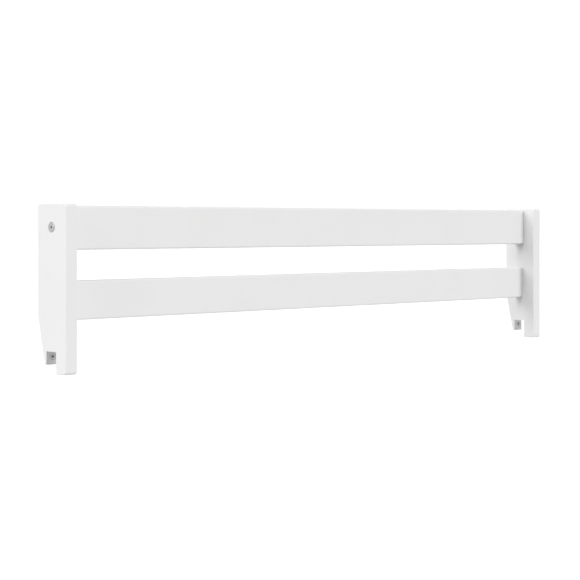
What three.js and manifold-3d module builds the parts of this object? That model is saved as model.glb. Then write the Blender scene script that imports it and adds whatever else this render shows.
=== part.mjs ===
// Bed guard rail: two forked end boards that hang over a bed's side board, joined by two rails.
// Millimetres. +X runs along the rails, +Y points at the mattress, +Z is up.
// The origin is on the top edge of the side board that the guard hangs on, half way along.

import * as THREE from 'three';
import { mergeVertices } from 'three/addons/utils/BufferGeometryUtils.js';
import Module from 'manifold-3d';

// Whole guard
const overallLength = 1367;

// End boards
const boardHeight = 290;
const boardDepth = 77;
const boardThickness = 25;
const boardEdgeRadius = 2;
const boardTopRadius = 4;
const frontFootRadius = 5;
const rearFootRadius = 4;
const frontLegDepth = 26.5;
const frontLegLength = 38;
const slotClearWidth = 24.5;
const rearLegLength = 23;
const rearFootDepth = 6;
const taperHeight = 82;
const taperBlendRadius = 60;

// Rails
const railEdgeRadius = 3;
const railRearSetback = 26;
const topRailDrop = 2.5;
const topRailHeight = 76;
const topRailThickness = 24;
const railGap = 53;
const lowerRailHeight = 68;
const lowerRailThickness = 20;

// Connector bolts and their barrel nuts
const boltHeadDiameter = 17;
const boltHeadThickness = 2.5;
const boltHeadProud = 0.5;
const boltHeadEdge = 0.8;
const boltDiameter = 6;
const boltAboveRailCentre = 1;
const boltLength = 60;
const boltSocketWidth = 4;
const boltSocketDepth = 3;
const boltTipChamfer = 0.8;
const nutDiameter = 10;
const nutLength = 14;
const nutFromRailEnd = 30;
const nutEndChamfer = 0.5;
const nutSlotWidth = 1.5;
const nutSlotDepth = 1.5;

// Wooden dowels
const dowelDiameter = 8;
const dowelLength = 30;
const dowelInBoard = 12;
const dowelEndChamfer = 1;
const dowelFluteDepth = 0.4;
const dowelFluteCount = 10;
const dowelFluteShare = 0.25;
const topDowelSpacing = 48;
const lowerDowelSpacing = 36;

// Slot plates and their screws
const plateThickness = 1.5;
const plateGrooveDepth = 1;
const plateSideInset = 0.5;
const plateEdgeRadius = 0.3;
const plateTopRadius = 0.8;
const plateFootRadius = 2;
const screwBelowSeat = 9;
const screwHeadDiameter = 12;
const screwHeadLand = 0.3;
const screwDiameter = 5.5;
const screwLength = 8;
const screwTipChamfer = 0.8;
const screwSocketWidth = 4;
const screwSocketDepth = 2.2;

// Clearances, and the overrun of every cut
const seatGap = 0.1;
const holeClearance = 0.3;
const holeEndRoom = 1;
const cutOverrun = 5;

// Facets
const cornerSegments = 4;
const bevelSegments = 4;
const plateBevelSegments = 2;
const holeSegments = 24;
const headSegments = 36;

// Places that follow from the sizes
const boardCentreX = (overallLength - boardThickness) / 2;
const boardInnerX = overallLength / 2 - boardThickness;
const slotFrontY = -slotClearWidth / 2;
const plateFrontY = slotClearWidth / 2;
const slotRearY = plateFrontY + plateThickness + seatGap;
const slotMiddleY = (slotFrontY + slotRearY) / 2;
const frontY = slotFrontY - frontLegDepth;
const rearY = frontY + boardDepth;
const footZ = -frontLegLength;
const rearFootZ = -rearLegLength;
const topZ = footZ + boardHeight;
const railLength = 2 * (boardInnerX - seatGap);
const railRearY = rearY - railRearSetback;
const topRailCentreY = railRearY - topRailThickness / 2;
const topRailCentreZ = topZ - topRailDrop - topRailHeight / 2;
const lowerRailCentreY = railRearY - lowerRailThickness / 2;
const lowerRailCentreZ = topRailCentreZ - topRailHeight / 2 - railGap - lowerRailHeight / 2;
const boltZ = topRailCentreZ + boltAboveRailCentre;
const counterboreDepth = boltHeadThickness - boltHeadProud + seatGap;
const nutCentreX = boardInnerX - nutFromRailEnd;
const dowelCentreX = boardInnerX + dowelInBoard - dowelLength / 2;
const plateHeight = rearLegLength + plateGrooveDepth - seatGap;

const white = { color: 0xf1f1f0, roughness: 0.45, metalness: 0 };
const steel = { color: 0xb4b6b8, roughness: 0.35, metalness: 1 };
const beech = { color: 0xd9b98c, roughness: 0.7, metalness: 0 };

const sides = [
  { name: 'left', sign: -1 },
  { name: 'right', sign: 1 },
];

const rails = [
  {
    name: 'top_rail',
    height: topRailHeight,
    thickness: topRailThickness,
    centreY: topRailCentreY,
    centreZ: topRailCentreZ,
    dowelSpacing: topDowelSpacing,
    bolted: true,
  },
  {
    name: 'lower_rail',
    height: lowerRailHeight,
    thickness: lowerRailThickness,
    centreY: lowerRailCentreY,
    centreZ: lowerRailCentreZ,
    dowelSpacing: lowerDowelSpacing,
    bolted: false,
  },
];

const wasm = await Module();
wasm.setup();

function toSolid(geometry) {
  const bare = geometry.clone();
  bare.deleteAttribute('normal');
  bare.deleteAttribute('uv');
  const merged = mergeVertices(bare);
  return new wasm.Manifold(new wasm.Mesh({
    numProp: 3,
    vertProperties: new Float32Array(merged.attributes.position.array),
    triVerts: new Uint32Array(merged.index.array),
  }));
}

function toGeometry(solid) {
  const { vertProperties, triVerts } = solid.getMesh();
  const geometry = new THREE.BufferGeometry();
  geometry.setAttribute('position', new THREE.BufferAttribute(vertProperties, 3));
  geometry.setIndex(new THREE.BufferAttribute(triVerts, 1));
  geometry.computeVertexNormals();
  return geometry;
}

function cut(geometry, cutters) {
  let solid = toSolid(geometry);
  for (const cutter of cutters) {
    solid = solid.subtract(toSolid(cutter));
  }
  return toGeometry(solid);
}

function piece(name, geometry, finish) {
  const mesh = new THREE.Mesh(geometry, new THREE.MeshStandardMaterial(finish));
  mesh.name = name;
  return mesh;
}

// A closed outline, counter-clockwise, from corners given as two coordinates and a corner radius
function roundedOutline(corners) {
  const shape = new THREE.Shape();
  corners.forEach(([first, second, radius], index) => {
    const corner = new THREE.Vector2(first, second);
    const toPrevious = new THREE.Vector2(...corners.at(index - 1)).sub(corner).normalize();
    const toNext = new THREE.Vector2(...corners.at((index + 1) % corners.length));
    toNext.sub(corner).normalize();
    const halfAngle = Math.acos(toPrevious.dot(toNext)) / 2;
    const tangent = radius / Math.tan(halfAngle);
    const start = corner.clone().addScaledVector(toPrevious, tangent);
    const end = corner.clone().addScaledVector(toNext, tangent);
    const centre = toPrevious.clone().add(toNext).setLength(radius / Math.sin(halfAngle));
    centre.add(corner);
    const fromAngle = start.sub(centre).angle();
    const toAngle = end.sub(centre).angle();
    const turnsRight = toPrevious.cross(toNext) > 0;
    if (radius > 0) {
      shape.absarc(centre.x, centre.y, radius, fromAngle, toAngle, turnsRight);
    } else {
      shape.lineTo(corner.x, corner.y);
    }
  });
  shape.closePath();
  return shape;
}

// Extrudes an outline drawn in Y and Z along X, centred on X = 0, with its long edges rounded
function extrudeAlongX(shape, length, edgeRadius) {
  const geometry = new THREE.ExtrudeGeometry(shape, {
    depth: length - 2 * edgeRadius,
    curveSegments: cornerSegments,
    bevelEnabled: edgeRadius > 0,
    bevelThickness: edgeRadius,
    bevelSize: edgeRadius,
    bevelOffset: -edgeRadius,
    bevelSegments,
  });
  geometry.translate(0, 0, edgeRadius - length / 2);
  const toX = new THREE.Matrix4().makeBasis(
    new THREE.Vector3(0, 1, 0),
    new THREE.Vector3(0, 0, 1),
    new THREE.Vector3(1, 0, 0),
  );
  return geometry.applyMatrix4(toX);
}

// A cylinder along X between two X values
function cylinderX(diameter, fromX, toX, y, z, segments = holeSegments) {
  const length = Math.abs(toX - fromX);
  const geometry = new THREE.CylinderGeometry(diameter / 2, diameter / 2, length, segments);
  geometry.rotateZ(Math.PI / 2);
  return geometry.translate((fromX + toX) / 2, y, z);
}

// A solid of revolution round +Y from pairs of radius and height, drawn from the bottom up
function revolve(profile, segments) {
  const points = profile.map(([radius, height]) => new THREE.Vector2(radius, height));
  return new THREE.LatheGeometry(points, segments);
}

// A hexagonal socket whose open end is at height zero, going down
function hexSocket(width, depth) {
  const geometry = new THREE.CylinderGeometry(width / Math.sqrt(3), width / Math.sqrt(3),
    depth + cutOverrun, 6);
  return geometry.translate(0, (cutOverrun - depth) / 2, 0);
}

function dowelHeights(rail) {
  return [rail.centreZ + rail.dowelSpacing / 2, rail.centreZ - rail.dowelSpacing / 2];
}

// The board's side view: straight front, rounded corners, a rear leg that tapers to its foot
function boardOutline() {
  return roundedOutline([
    [frontY, footZ, frontFootRadius],
    [slotMiddleY, footZ, 0],
    [slotMiddleY, rearFootZ, 0],
    [slotRearY + rearFootDepth, rearFootZ, rearFootRadius],
    [rearY, rearFootZ + taperHeight, taperBlendRadius],
    [rearY, topZ, boardTopRadius],
    [frontY, topZ, boardTopRadius],
  ]);
}

function slotCutter() {
  const height = frontLegLength + cutOverrun;
  const geometry = new THREE.BoxGeometry(boardThickness + 2 * cutOverrun, slotRearY - slotFrontY,
    height);
  return geometry.translate(0, slotMiddleY, -height / 2);
}

// Groove in the slot's top wall that holds the plate's top edge
function grooveCutter() {
  const width = slotRearY - plateFrontY + seatGap;
  const geometry = new THREE.BoxGeometry(boardThickness + 2 * cutOverrun, width,
    2 * plateGrooveDepth);
  return geometry.translate(0, slotRearY - width / 2, 0);
}

// Through hole for the connector bolt, with a counterbore for its head in the outer face
function boltHoles(sign) {
  const outerX = sign * boardThickness / 2;
  const through = cylinderX(boltDiameter + 2 * holeClearance, -boardThickness, boardThickness,
    topRailCentreY, boltZ);
  const counterbore = cylinderX(boltHeadDiameter + 2 * holeClearance,
    outerX - sign * counterboreDepth, outerX + sign * cutOverrun,
    topRailCentreY, boltZ, headSegments);
  return [through, counterbore];
}

function boardDowelHoles(sign) {
  const innerX = -sign * boardThickness / 2;
  const bottomX = innerX + sign * (dowelInBoard + holeEndRoom);
  const diameter = dowelDiameter + 2 * holeClearance;
  return rails.flatMap((rail) => dowelHeights(rail).map((z) => (
    cylinderX(diameter, innerX - sign * cutOverrun, bottomX, rail.centreY, z))));
}

function endBoard(side) {
  const blank = extrudeAlongX(boardOutline(), boardThickness, boardEdgeRadius);
  const geometry = cut(blank, [
    slotCutter(),
    grooveCutter(),
    ...boltHoles(side.sign),
    ...boardDowelHoles(side.sign),
    screwHole().translate(0, plateFrontY, -screwBelowSeat),
  ]);
  return piece(`${side.name}_end_board`, geometry, white);
}

function railOutline(rail) {
  const halfDepth = rail.thickness / 2;
  const halfHeight = rail.height / 2;
  return roundedOutline([
    [-halfDepth, -halfHeight, railEdgeRadius],
    [halfDepth, -halfHeight, railEdgeRadius],
    [halfDepth, halfHeight, railEdgeRadius],
    [-halfDepth, halfHeight, railEdgeRadius],
  ]);
}

// Bore along the rail for the bolt, and a cross hole from the rear face for the barrel nut
function connectorHoles(rail, sign) {
  const boltEndX = overallLength / 2 - counterboreDepth - boltLength;
  const bore = cylinderX(boltDiameter + 2 * holeClearance, sign * (boltEndX - holeEndRoom),
    sign * (railLength / 2 + cutOverrun), 0, boltAboveRailCentre);
  const nutRadius = nutDiameter / 2 + holeClearance;
  const nutDepth = rail.thickness / 2 + nutLength / 2 + holeClearance;
  const cross = new THREE.CylinderGeometry(nutRadius, nutRadius, nutDepth + cutOverrun, holeSegments);
  cross.translate(sign * nutCentreX, rail.thickness / 2 + (cutOverrun - nutDepth) / 2,
    boltAboveRailCentre);
  return [bore, cross];
}

function railDowelHoles(rail, sign) {
  const bottomX = dowelCentreX - dowelLength / 2 - holeEndRoom;
  const diameter = dowelDiameter + 2 * holeClearance;
  return dowelHeights(rail).map((z) => cylinderX(diameter, sign * bottomX,
    sign * (railLength / 2 + cutOverrun), 0, z - rail.centreZ));
}

function railPiece(rail) {
  const blank = extrudeAlongX(railOutline(rail), railLength, 0);
  const cutters = sides.flatMap(({ sign }) => [
    ...railDowelHoles(rail, sign),
    ...(rail.bolted ? connectorHoles(rail, sign) : []),
  ]);
  const mesh = piece(rail.name, cut(blank, cutters), white);
  mesh.position.set(0, rail.centreY, rail.centreZ);
  return mesh;
}

// Flat-headed bolt: its head's underside is at height zero and its shank points down
function connectorBolt(side) {
  const headRadius = boltHeadDiameter / 2;
  const radius = boltDiameter / 2;
  const body = revolve([
    [0, -boltLength],
    [radius - boltTipChamfer, -boltLength],
    [radius, boltTipChamfer - boltLength],
    [radius, 0],
    [headRadius, 0],
    [headRadius, boltHeadThickness - boltHeadEdge],
    [headRadius - boltHeadEdge, boltHeadThickness],
    [0, boltHeadThickness],
  ], headSegments);
  const socket = hexSocket(boltSocketWidth, boltSocketDepth);
  socket.translate(0, boltHeadThickness, 0);
  const geometry = cut(body, [socket]);
  geometry.rotateZ(-side.sign * Math.PI / 2);
  const mesh = piece(`${side.name}_connector_bolt`, geometry, steel);
  const seatX = overallLength / 2 - counterboreDepth + seatGap;
  mesh.position.set(side.sign * seatX, topRailCentreY, boltZ);
  return mesh;
}

// Barrel nut: a short rod along Y with a cross hole for the bolt and a screwdriver slot
function barrelNut(side) {
  const radius = nutDiameter / 2;
  const halfLength = nutLength / 2;
  const body = revolve([
    [0, -halfLength],
    [radius - nutEndChamfer, -halfLength],
    [radius, nutEndChamfer - halfLength],
    [radius, halfLength - nutEndChamfer],
    [radius - nutEndChamfer, halfLength],
    [0, halfLength],
  ], holeSegments);
  const threadHole = cylinderX(boltDiameter + 2 * holeClearance, -nutDiameter, nutDiameter, 0, 0);
  const slot = new THREE.BoxGeometry(nutDiameter + 2 * cutOverrun, nutSlotDepth + cutOverrun,
    nutSlotWidth);
  slot.translate(0, halfLength + (cutOverrun - nutSlotDepth) / 2, 0);
  const mesh = piece(`${side.name}_barrel_nut`, cut(body, [threadHole, slot]), steel);
  mesh.position.set(side.sign * nutCentreX, topRailCentreY, boltZ);
  return mesh;
}

function polar(radius, angle) {
  return new THREE.Vector2(Math.cos(angle), Math.sin(angle)).multiplyScalar(radius);
}

// Section of a fluted dowel: crests on the full radius with a narrow groove between them
function flutedSection() {
  const crestRadius = dowelDiameter / 2;
  const pitch = 2 * Math.PI / dowelFluteCount;
  const points = [];
  for (let groove = 0; groove < dowelFluteCount; groove += 1) {
    points.push(
      polar(crestRadius - dowelFluteDepth, groove * pitch),
      polar(crestRadius, (groove + dowelFluteShare) * pitch),
      polar(crestRadius, (groove + 1 - dowelFluteShare) * pitch),
    );
  }
  return new THREE.Shape(points);
}

// Fluted dowel along X, trimmed to a rod with chamfered ends
function dowel(name) {
  const bar = extrudeAlongX(flutedSection(), dowelLength + 2 * cutOverrun, 0);
  const crestRadius = dowelDiameter / 2;
  const halfLength = dowelLength / 2;
  const rod = revolve([
    [0, -halfLength],
    [crestRadius - dowelEndChamfer, -halfLength],
    [crestRadius, dowelEndChamfer - halfLength],
    [crestRadius, halfLength - dowelEndChamfer],
    [crestRadius - dowelEndChamfer, halfLength],
    [0, halfLength],
  ], holeSegments);
  rod.rotateZ(Math.PI / 2);
  return piece(name, toGeometry(toSolid(bar).intersect(toSolid(rod))), beech);
}

function dowels() {
  return sides.flatMap((side) => rails.flatMap((rail) => (
    dowelHeights(rail).map((z, index) => {
      const mesh = dowel(`${side.name}_${rail.name}_dowel_${index + 1}`);
      mesh.position.set(side.sign * dowelCentreX, rail.centreY, z);
      return mesh;
    })
  )));
}

// Countersunk screw profile from its tip up to its flat head at height zero
function countersunkProfile(growth) {
  const headRadius = screwHeadDiameter / 2 + growth;
  const radius = screwDiameter / 2 + growth;
  const length = screwLength + growth;
  const neck = screwHeadLand + (screwHeadDiameter - screwDiameter) / 2;
  return [
    [0, -length],
    [radius - screwTipChamfer, -length],
    [radius, screwTipChamfer - length],
    [radius, -neck],
    [headRadius, -screwHeadLand],
    [headRadius, 0],
  ];
}

// Cutter for the plate screw's hole, which opens towards the front
function screwHole() {
  const hole = revolve([
    ...countersunkProfile(holeClearance),
    [screwHeadDiameter / 2 + holeClearance, cutOverrun],
    [0, cutOverrun],
  ], headSegments);
  return hole.rotateX(Math.PI);
}

// Steel plate that lines the slot's rear wall, with a countersunk hole for its screw
function slotPlate(side) {
  const halfWidth = boardThickness / 2 - plateSideInset;
  const outline = roundedOutline([
    [-halfWidth, 0, plateFootRadius],
    [halfWidth, 0, plateFootRadius],
    [halfWidth, plateHeight, plateTopRadius],
    [-halfWidth, plateHeight, plateTopRadius],
  ]);
  const blank = new THREE.ExtrudeGeometry(outline, {
    depth: plateThickness - 2 * plateEdgeRadius,
    curveSegments: cornerSegments,
    bevelThickness: plateEdgeRadius,
    bevelSize: plateEdgeRadius,
    bevelOffset: -plateEdgeRadius,
    bevelSegments: plateBevelSegments,
  });
  blank.translate(0, 0, plateEdgeRadius - plateThickness);
  blank.rotateX(Math.PI / 2);
  const hole = screwHole().translate(0, 0, rearLegLength - screwBelowSeat);
  const mesh = piece(`${side.name}_slot_plate`, cut(blank, [hole]), steel);
  mesh.position.set(side.sign * boardCentreX, plateFrontY, rearFootZ);
  return mesh;
}

// Countersunk screw that holds the plate: its head is flush with the plate and faces the front
function plateScrew(side) {
  const body = revolve([...countersunkProfile(0), [0, 0]], headSegments);
  const geometry = cut(body, [hexSocket(screwSocketWidth, screwSocketDepth)]);
  geometry.rotateX(Math.PI);
  const mesh = piece(`${side.name}_plate_screw`, geometry, steel);
  mesh.position.set(side.sign * boardCentreX, plateFrontY, -screwBelowSeat);
  return mesh;
}

const guard = new THREE.Group();
guard.name = 'bed_guard_rail';
for (const rail of rails) {
  guard.add(railPiece(rail));
}
for (const side of sides) {
  const board = endBoard(side);
  board.position.x = side.sign * boardCentreX;
  guard.add(board, connectorBolt(side), barrelNut(side), slotPlate(side), plateScrew(side));
}
guard.add(...dowels());

export default guard;
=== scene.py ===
import math

import bmesh
import bpy
from mathutils import Matrix, Vector


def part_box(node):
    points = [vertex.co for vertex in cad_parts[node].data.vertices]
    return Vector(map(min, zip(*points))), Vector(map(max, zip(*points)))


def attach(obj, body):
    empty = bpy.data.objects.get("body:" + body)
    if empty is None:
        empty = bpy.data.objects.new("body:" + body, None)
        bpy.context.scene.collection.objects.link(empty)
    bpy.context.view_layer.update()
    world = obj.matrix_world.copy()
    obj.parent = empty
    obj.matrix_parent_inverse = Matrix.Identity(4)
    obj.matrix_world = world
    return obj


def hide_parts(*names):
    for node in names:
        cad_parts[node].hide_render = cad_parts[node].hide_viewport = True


bl_info = {
    "name": "Bed Guard Rail",
    "version": (1, 0, 0),
    "blender": (4, 5, 0),
    "location": "View3D > Sidebar > Guard Rail",
    "description": "Builds a white wooden bed guard rail around its packed CAD frame",
    "category": "Add Mesh",
}

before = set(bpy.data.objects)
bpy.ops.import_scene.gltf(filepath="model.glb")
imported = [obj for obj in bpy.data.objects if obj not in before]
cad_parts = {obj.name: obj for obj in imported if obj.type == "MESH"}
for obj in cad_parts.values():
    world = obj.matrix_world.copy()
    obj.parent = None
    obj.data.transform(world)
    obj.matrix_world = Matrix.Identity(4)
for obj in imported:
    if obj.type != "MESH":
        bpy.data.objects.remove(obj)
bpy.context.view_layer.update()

BODY = "root"
SIDES = {"left": -1, "right": 1}


def mm(length):
    """Millimetres as Blender's metres."""
    return length / 1000


# How far a cutter reaches past the surface that it enters by
OVERRUN = mm(5)
# Room left beyond the end of a pin in its hole
END_ROOM = mm(1)
# Drilling depth that leaves the wood whole
NO_DEPTH = mm(1) - OVERRUN
# Taper at the tip of a bolt or screw
TIP_CHAMFER = mm(0.8)
# Points closer than this are one point
WELD = mm(0.001)
# Nearest that a thread's cut comes to the axis
THREAD_CORE = mm(0.1)
# Length over which a thread runs out
THREAD_RUN_OUT = mm(0.6)
# Fillet under a bolt's head, and how far the underside rises from there to the rim
HEAD_FILLET, HEAD_RISE = mm(0.3), mm(0.02)
# Level points along a shank for each turn of its thread
BOLT_STEPS, SCREW_STEPS = 6, 8
# Turning marks on a head, in radians per metre from its axis
TOOL_MARKS = 16000
# Facets round the holes for bolts and screws, round other pins' holes, and in the rails
HOLE_SEGMENTS, PIN_SEGMENTS, DRILL_SEGMENTS = 64, 48, 32
# Facets round a slot plate's corners and across its edges
PLATE_SEGMENTS = (6, 3)
# Facets across a dowel's rounded crests, and their radius as a share of the flutes' depth
CREST_SEGMENTS, CREST_ROUNDING = 3, 0.7
# Width of the camera's film in millimetres, and the farthest that it sees in metres
FILM_WIDTH, FARTHEST = 36, 500


# ---------------------------------------------------------------- settings

def size(label, text, millimetres, lowest=0.0):
    """A length property, whose default is given in millimetres."""
    return bpy.props.FloatProperty(
        name=label, description=text, default=mm(millimetres), min=mm(lowest),
        unit="LENGTH", subtype="DISTANCE", precision=4)


def angle(label, text, degrees):
    return bpy.props.FloatProperty(
        name=label, description=text, default=math.radians(degrees), subtype="ANGLE",
        unit="ROTATION")


def level(label, text, default):
    """A brightness, where 1 shows as white."""
    return bpy.props.FloatProperty(name=label, description=text, default=default, min=0.0)


def count(label, text, default, lowest):
    return bpy.props.IntProperty(name=label, description=text, default=default, min=lowest)


def share(label, text, default):
    return bpy.props.FloatProperty(
        name=label, description=text, default=default, min=0.0, max=1.0, subtype="FACTOR")


def colour(label, text, default):
    return bpy.props.FloatVectorProperty(
        name=label, description=text, default=default, size=3, min=0.0, max=1.0,
        subtype="COLOR")


class WoodSettings(bpy.types.PropertyGroup):
    """Sizes and colours of the end boards, the rails and the dowels."""

    edge_radius: size("Edge Radius", "Rounding of the boards' long edges", 2, 0.2)
    edge_segments: count("Edge Segments", "Faces across each rounded edge", 8, 2)
    corner_segments: count("Corner Segments", "Faces round each corner of an outline", 10, 2)
    rim_radius: size("Rim Radius", "Easing of the slots' and holes' rims", 0.35, 0.05)
    top_corner: size("Top Corner", "Radius of an end board's two top corners", 4)
    front_foot_corner: size("Front Foot Corner", "Radius at the foot of the front leg", 5)
    rear_foot_corner: size("Rear Foot Corner", "Radius at the foot of the rear leg", 4)
    front_leg_depth: size("Front Leg Depth", "Depth of the leg outside the bed", 26.5)
    rear_leg_length: size("Rear Leg Length", "Drop of the leg on the mattress side", 23)
    rear_foot_depth: size("Rear Foot Depth", "Depth of wood at the rear leg's foot", 6)
    slot_width: size("Slot Width", "Clear width of the slot for the bed's side board", 24.5)
    taper_height: size("Taper Height", "Height over which the rear leg tapers", 82)
    taper_blend: size("Taper Blend", "Radius between the taper and the rear edge", 60)
    rail_edge_radius: size("Rail Edge Radius", "Rounding of the rails' long edges", 3, 0.2)
    dowel_hole: size("Dowel Hole", "Diameter of the holes for the dowels", 8.6)
    dowel_flute: size("Dowel Flute", "Depth of a dowel's flutes", 0.4)
    dowel_flutes: count("Dowel Flutes", "Number of flutes round a dowel", 10, 4)
    dowel_chamfer: size("Dowel Chamfer", "Chamfer at a dowel's ends", 1)
    dowel_rings: count("Dowel Rings", "Rings of points along a dowel", 61, 3)
    lacquer: colour("Lacquer", "Colour of the white satin lacquer", (0.722, 0.722, 0.720))
    lacquer_roughness: share("Lacquer Roughness", "Roughness of the satin lacquer", 0.42)
    beech: colour("Beech", "Colour of the bare dowels", (0.62, 0.42, 0.24))


class HardwareSettings(bpy.types.PropertyGroup):
    """Sizes and colours of the bolts, nuts, plates and screws."""

    bolt_head: size("Bolt Head", "Diameter of a connector bolt's flat head", 17)
    bolt_head_thickness: size("Bolt Head Thickness", "Thickness of the flat head", 2.5)
    bolt_head_edge: size("Bolt Head Edge", "Rounding of the flat head's rim", 0.8)
    bolt_head_proud: size("Bolt Head Proud", "Height of the head above the wood", 0.5)
    bolt_shank: size("Bolt Shank", "Thread diameter of a connector bolt", 6)
    bolt_plain: size("Bolt Plain", "Length of plain shank below the head", 14)
    bolt_pitch: size("Bolt Pitch", "Pitch of the bolt's thread", 1)
    bolt_thread: size("Bolt Thread", "Depth of the bolt's thread", 0.5)
    bolt_socket: size("Bolt Socket", "Width of the bolt's hexagonal socket", 4)
    bolt_socket_depth: size("Bolt Socket Depth", "Depth of the bolt's socket", 2.2)
    nut_slot: size("Nut Slot", "Width and depth of a barrel nut's slot", 1.5)
    nut_chamfer: size("Nut Chamfer", "Chamfer at a barrel nut's ends", 0.5)
    plate_thickness: size("Plate Thickness", "Thickness of a slot plate", 1.5)
    plate_edge: size("Plate Edge", "Rounding of a slot plate's edges", 0.3)
    plate_top_corner: size("Plate Top Corner", "Radius of the plate's top corners", 0.8)
    plate_foot_corner: size("Plate Foot Corner", "Radius of the plate's foot corners", 2)
    groove_depth: size("Groove Depth", "Height of plate let into the slot's top wall", 1)
    screw_below_seat: size("Screw Below Seat", "Drop from the slot's top wall to a screw", 9)
    screw_head: size("Screw Head", "Diameter of a plate screw's countersunk head", 12)
    screw_land: size("Screw Land", "Straight rim of the countersunk head", 0.3)
    screw_shank: size("Screw Shank", "Thread diameter of a plate screw", 5.5)
    screw_pitch: size("Screw Pitch", "Pitch of the plate screw's thread", 1.6)
    screw_thread: size("Screw Thread", "Depth of the plate screw's thread", 0.7)
    screw_rim: size("Screw Rim", "Chamfer round the countersunk head's face", 0.12)
    screw_socket: size("Screw Socket", "Width of the screw's hexagonal socket", 4)
    screw_socket_depth: size("Screw Socket Depth", "Depth of the screw's socket", 1.9)
    clearance: size("Clearance", "Gap round pins and screws in their holes", 0.3)
    seat_gap: size("Seat Gap", "Gap where two pieces are fitted together", 0.1)
    turned_segments: count("Turned Segments", "Faces round a turned piece", 48, 12)
    dull_zinc: colour("Dull Zinc", "Colour of the bolts and screws", (0.60, 0.605, 0.61))
    dull_roughness: share("Dull Roughness", "Roughness of the bolts and screws", 0.44)
    bright_zinc: colour("Bright Zinc", "Colour of the plates and nuts", (0.71, 0.715, 0.72))
    bright_roughness: share("Bright Roughness", "Roughness of the plates and nuts", 0.34)


class StageSettings(bpy.types.PropertyGroup):
    """Floor, lights and camera."""

    floor_drop: size("Floor Drop", "Height of the bed's side board above the floor", 420)
    floor_reach: size("Floor Reach", "Width of the floor", 300000)
    floor: colour("Floor", "Colour of the floor", (0.95, 0.95, 0.95))
    floor_glow: level("Floor Glow", "Light from under the floor, which fills the shadow", 0.16)
    backdrop: level("Backdrop", "Brightness of the wall behind the object", 1.02)
    sky_ground: level("Sky Ground", "Brightness of the light from straight below", 0.98)
    sky_horizon: level("Sky Horizon", "Brightness of the light from the sides", 0.71)
    sky_top: level("Sky Top", "Brightness of the light from straight above", 0.0)
    dark_ground: level("Dark Ground", "Brightness of the dark side's lowest part", 0.14)
    dark_horizon: level("Dark Horizon", "Brightness of the dark side's middle", 0.0)
    dark_top: level("Dark Top", "Brightness of the dark side's highest part", 1.13)
    dark_azimuth: angle("Dark Azimuth", "Turn from X to the studio's dark side", 230)
    dark_elevation: angle("Dark Elevation", "Rise to the middle of the dark side", 4)
    dark_core: angle("Dark Core", "Angle from that middle where only the dark side shines", 24)
    dark_edge: angle("Dark Edge", "Angle from that middle where the dark side ends", 80)
    key_power: level("Key Power", "Strength of the light beyond the left end board", 2.62)
    key_azimuth: angle("Key Azimuth", "Turn from X to the key light", 170)
    key_elevation: angle("Key Elevation", "Rise to the key light", 28)
    key_spread: angle("Key Spread", "Angle that the key light fills", 50)
    fill_power: level("Fill Power", "Strength of the light in front of the rails", 2.35)
    fill_azimuth: angle("Fill Azimuth", "Turn from X to the fill light", 279)
    fill_elevation: angle("Fill Elevation", "Rise to the fill light", 30)
    fill_spread: angle("Fill Spread", "Angle that the fill light fills", 40)
    lens: bpy.props.FloatProperty(
        name="Lens", description="Focal length of the camera, in millimetres",
        default=105.010, min=1.0)
    camera_place: bpy.props.FloatVectorProperty(
        name="Camera Place", description="Where the camera stands",
        default=(-2.48281, -2.28909, 0.21500), size=3, unit="LENGTH", subtype="TRANSLATION")
    camera_turn: angle("Camera Turn", "Turn of the level camera from straight ahead", 46.1923)
    camera_shift: bpy.props.FloatProperty(
        name="Camera Shift", description="Vertical lens shift, in widths of the picture",
        default=-0.11083)


# ---------------------------------------------------------------- node trees

class Value:
    """An output socket of a node tree: arithmetic on it adds Math nodes."""

    def __init__(self, sheet, socket):
        self.sheet = sheet
        self.socket = socket

    def maths(self, operation, first, second=0.0):
        return self.sheet.node(
            "ShaderNodeMath", {"operation": operation}, {0: first, 1: second})

    def __add__(self, other):
        return self.maths("ADD", self, other)

    def __sub__(self, other):
        return self.maths("SUBTRACT", self, other)

    def __rsub__(self, other):
        return self.maths("SUBTRACT", other, self)

    def __mul__(self, other):
        return self.maths("MULTIPLY", self, other)

    def __truediv__(self, other):
        return self.maths("DIVIDE", self, other)

    def __rtruediv__(self, other):
        return self.maths("DIVIDE", other, self)

    def __abs__(self):
        return self.maths("ABSOLUTE", self)

    __radd__ = __add__
    __rmul__ = __mul__

    def above(self, lowest):
        """The value, or lowest where that is more."""
        return self.maths("MAXIMUM", self, lowest)

    def below(self, highest):
        """The value, or highest where that is less."""
        return self.maths("MINIMUM", self, highest)

    def ramp(self, start, end, low=0.0, high=1.0):
        """From low at start to high at end, smooth, and level outside them."""
        return self.sheet.node(
            "ShaderNodeMapRange", {"interpolation_type": "SMOOTHSTEP"},
            {"Value": self, "From Min": start, "From Max": end, "To Min": low, "To Max": high})


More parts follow.
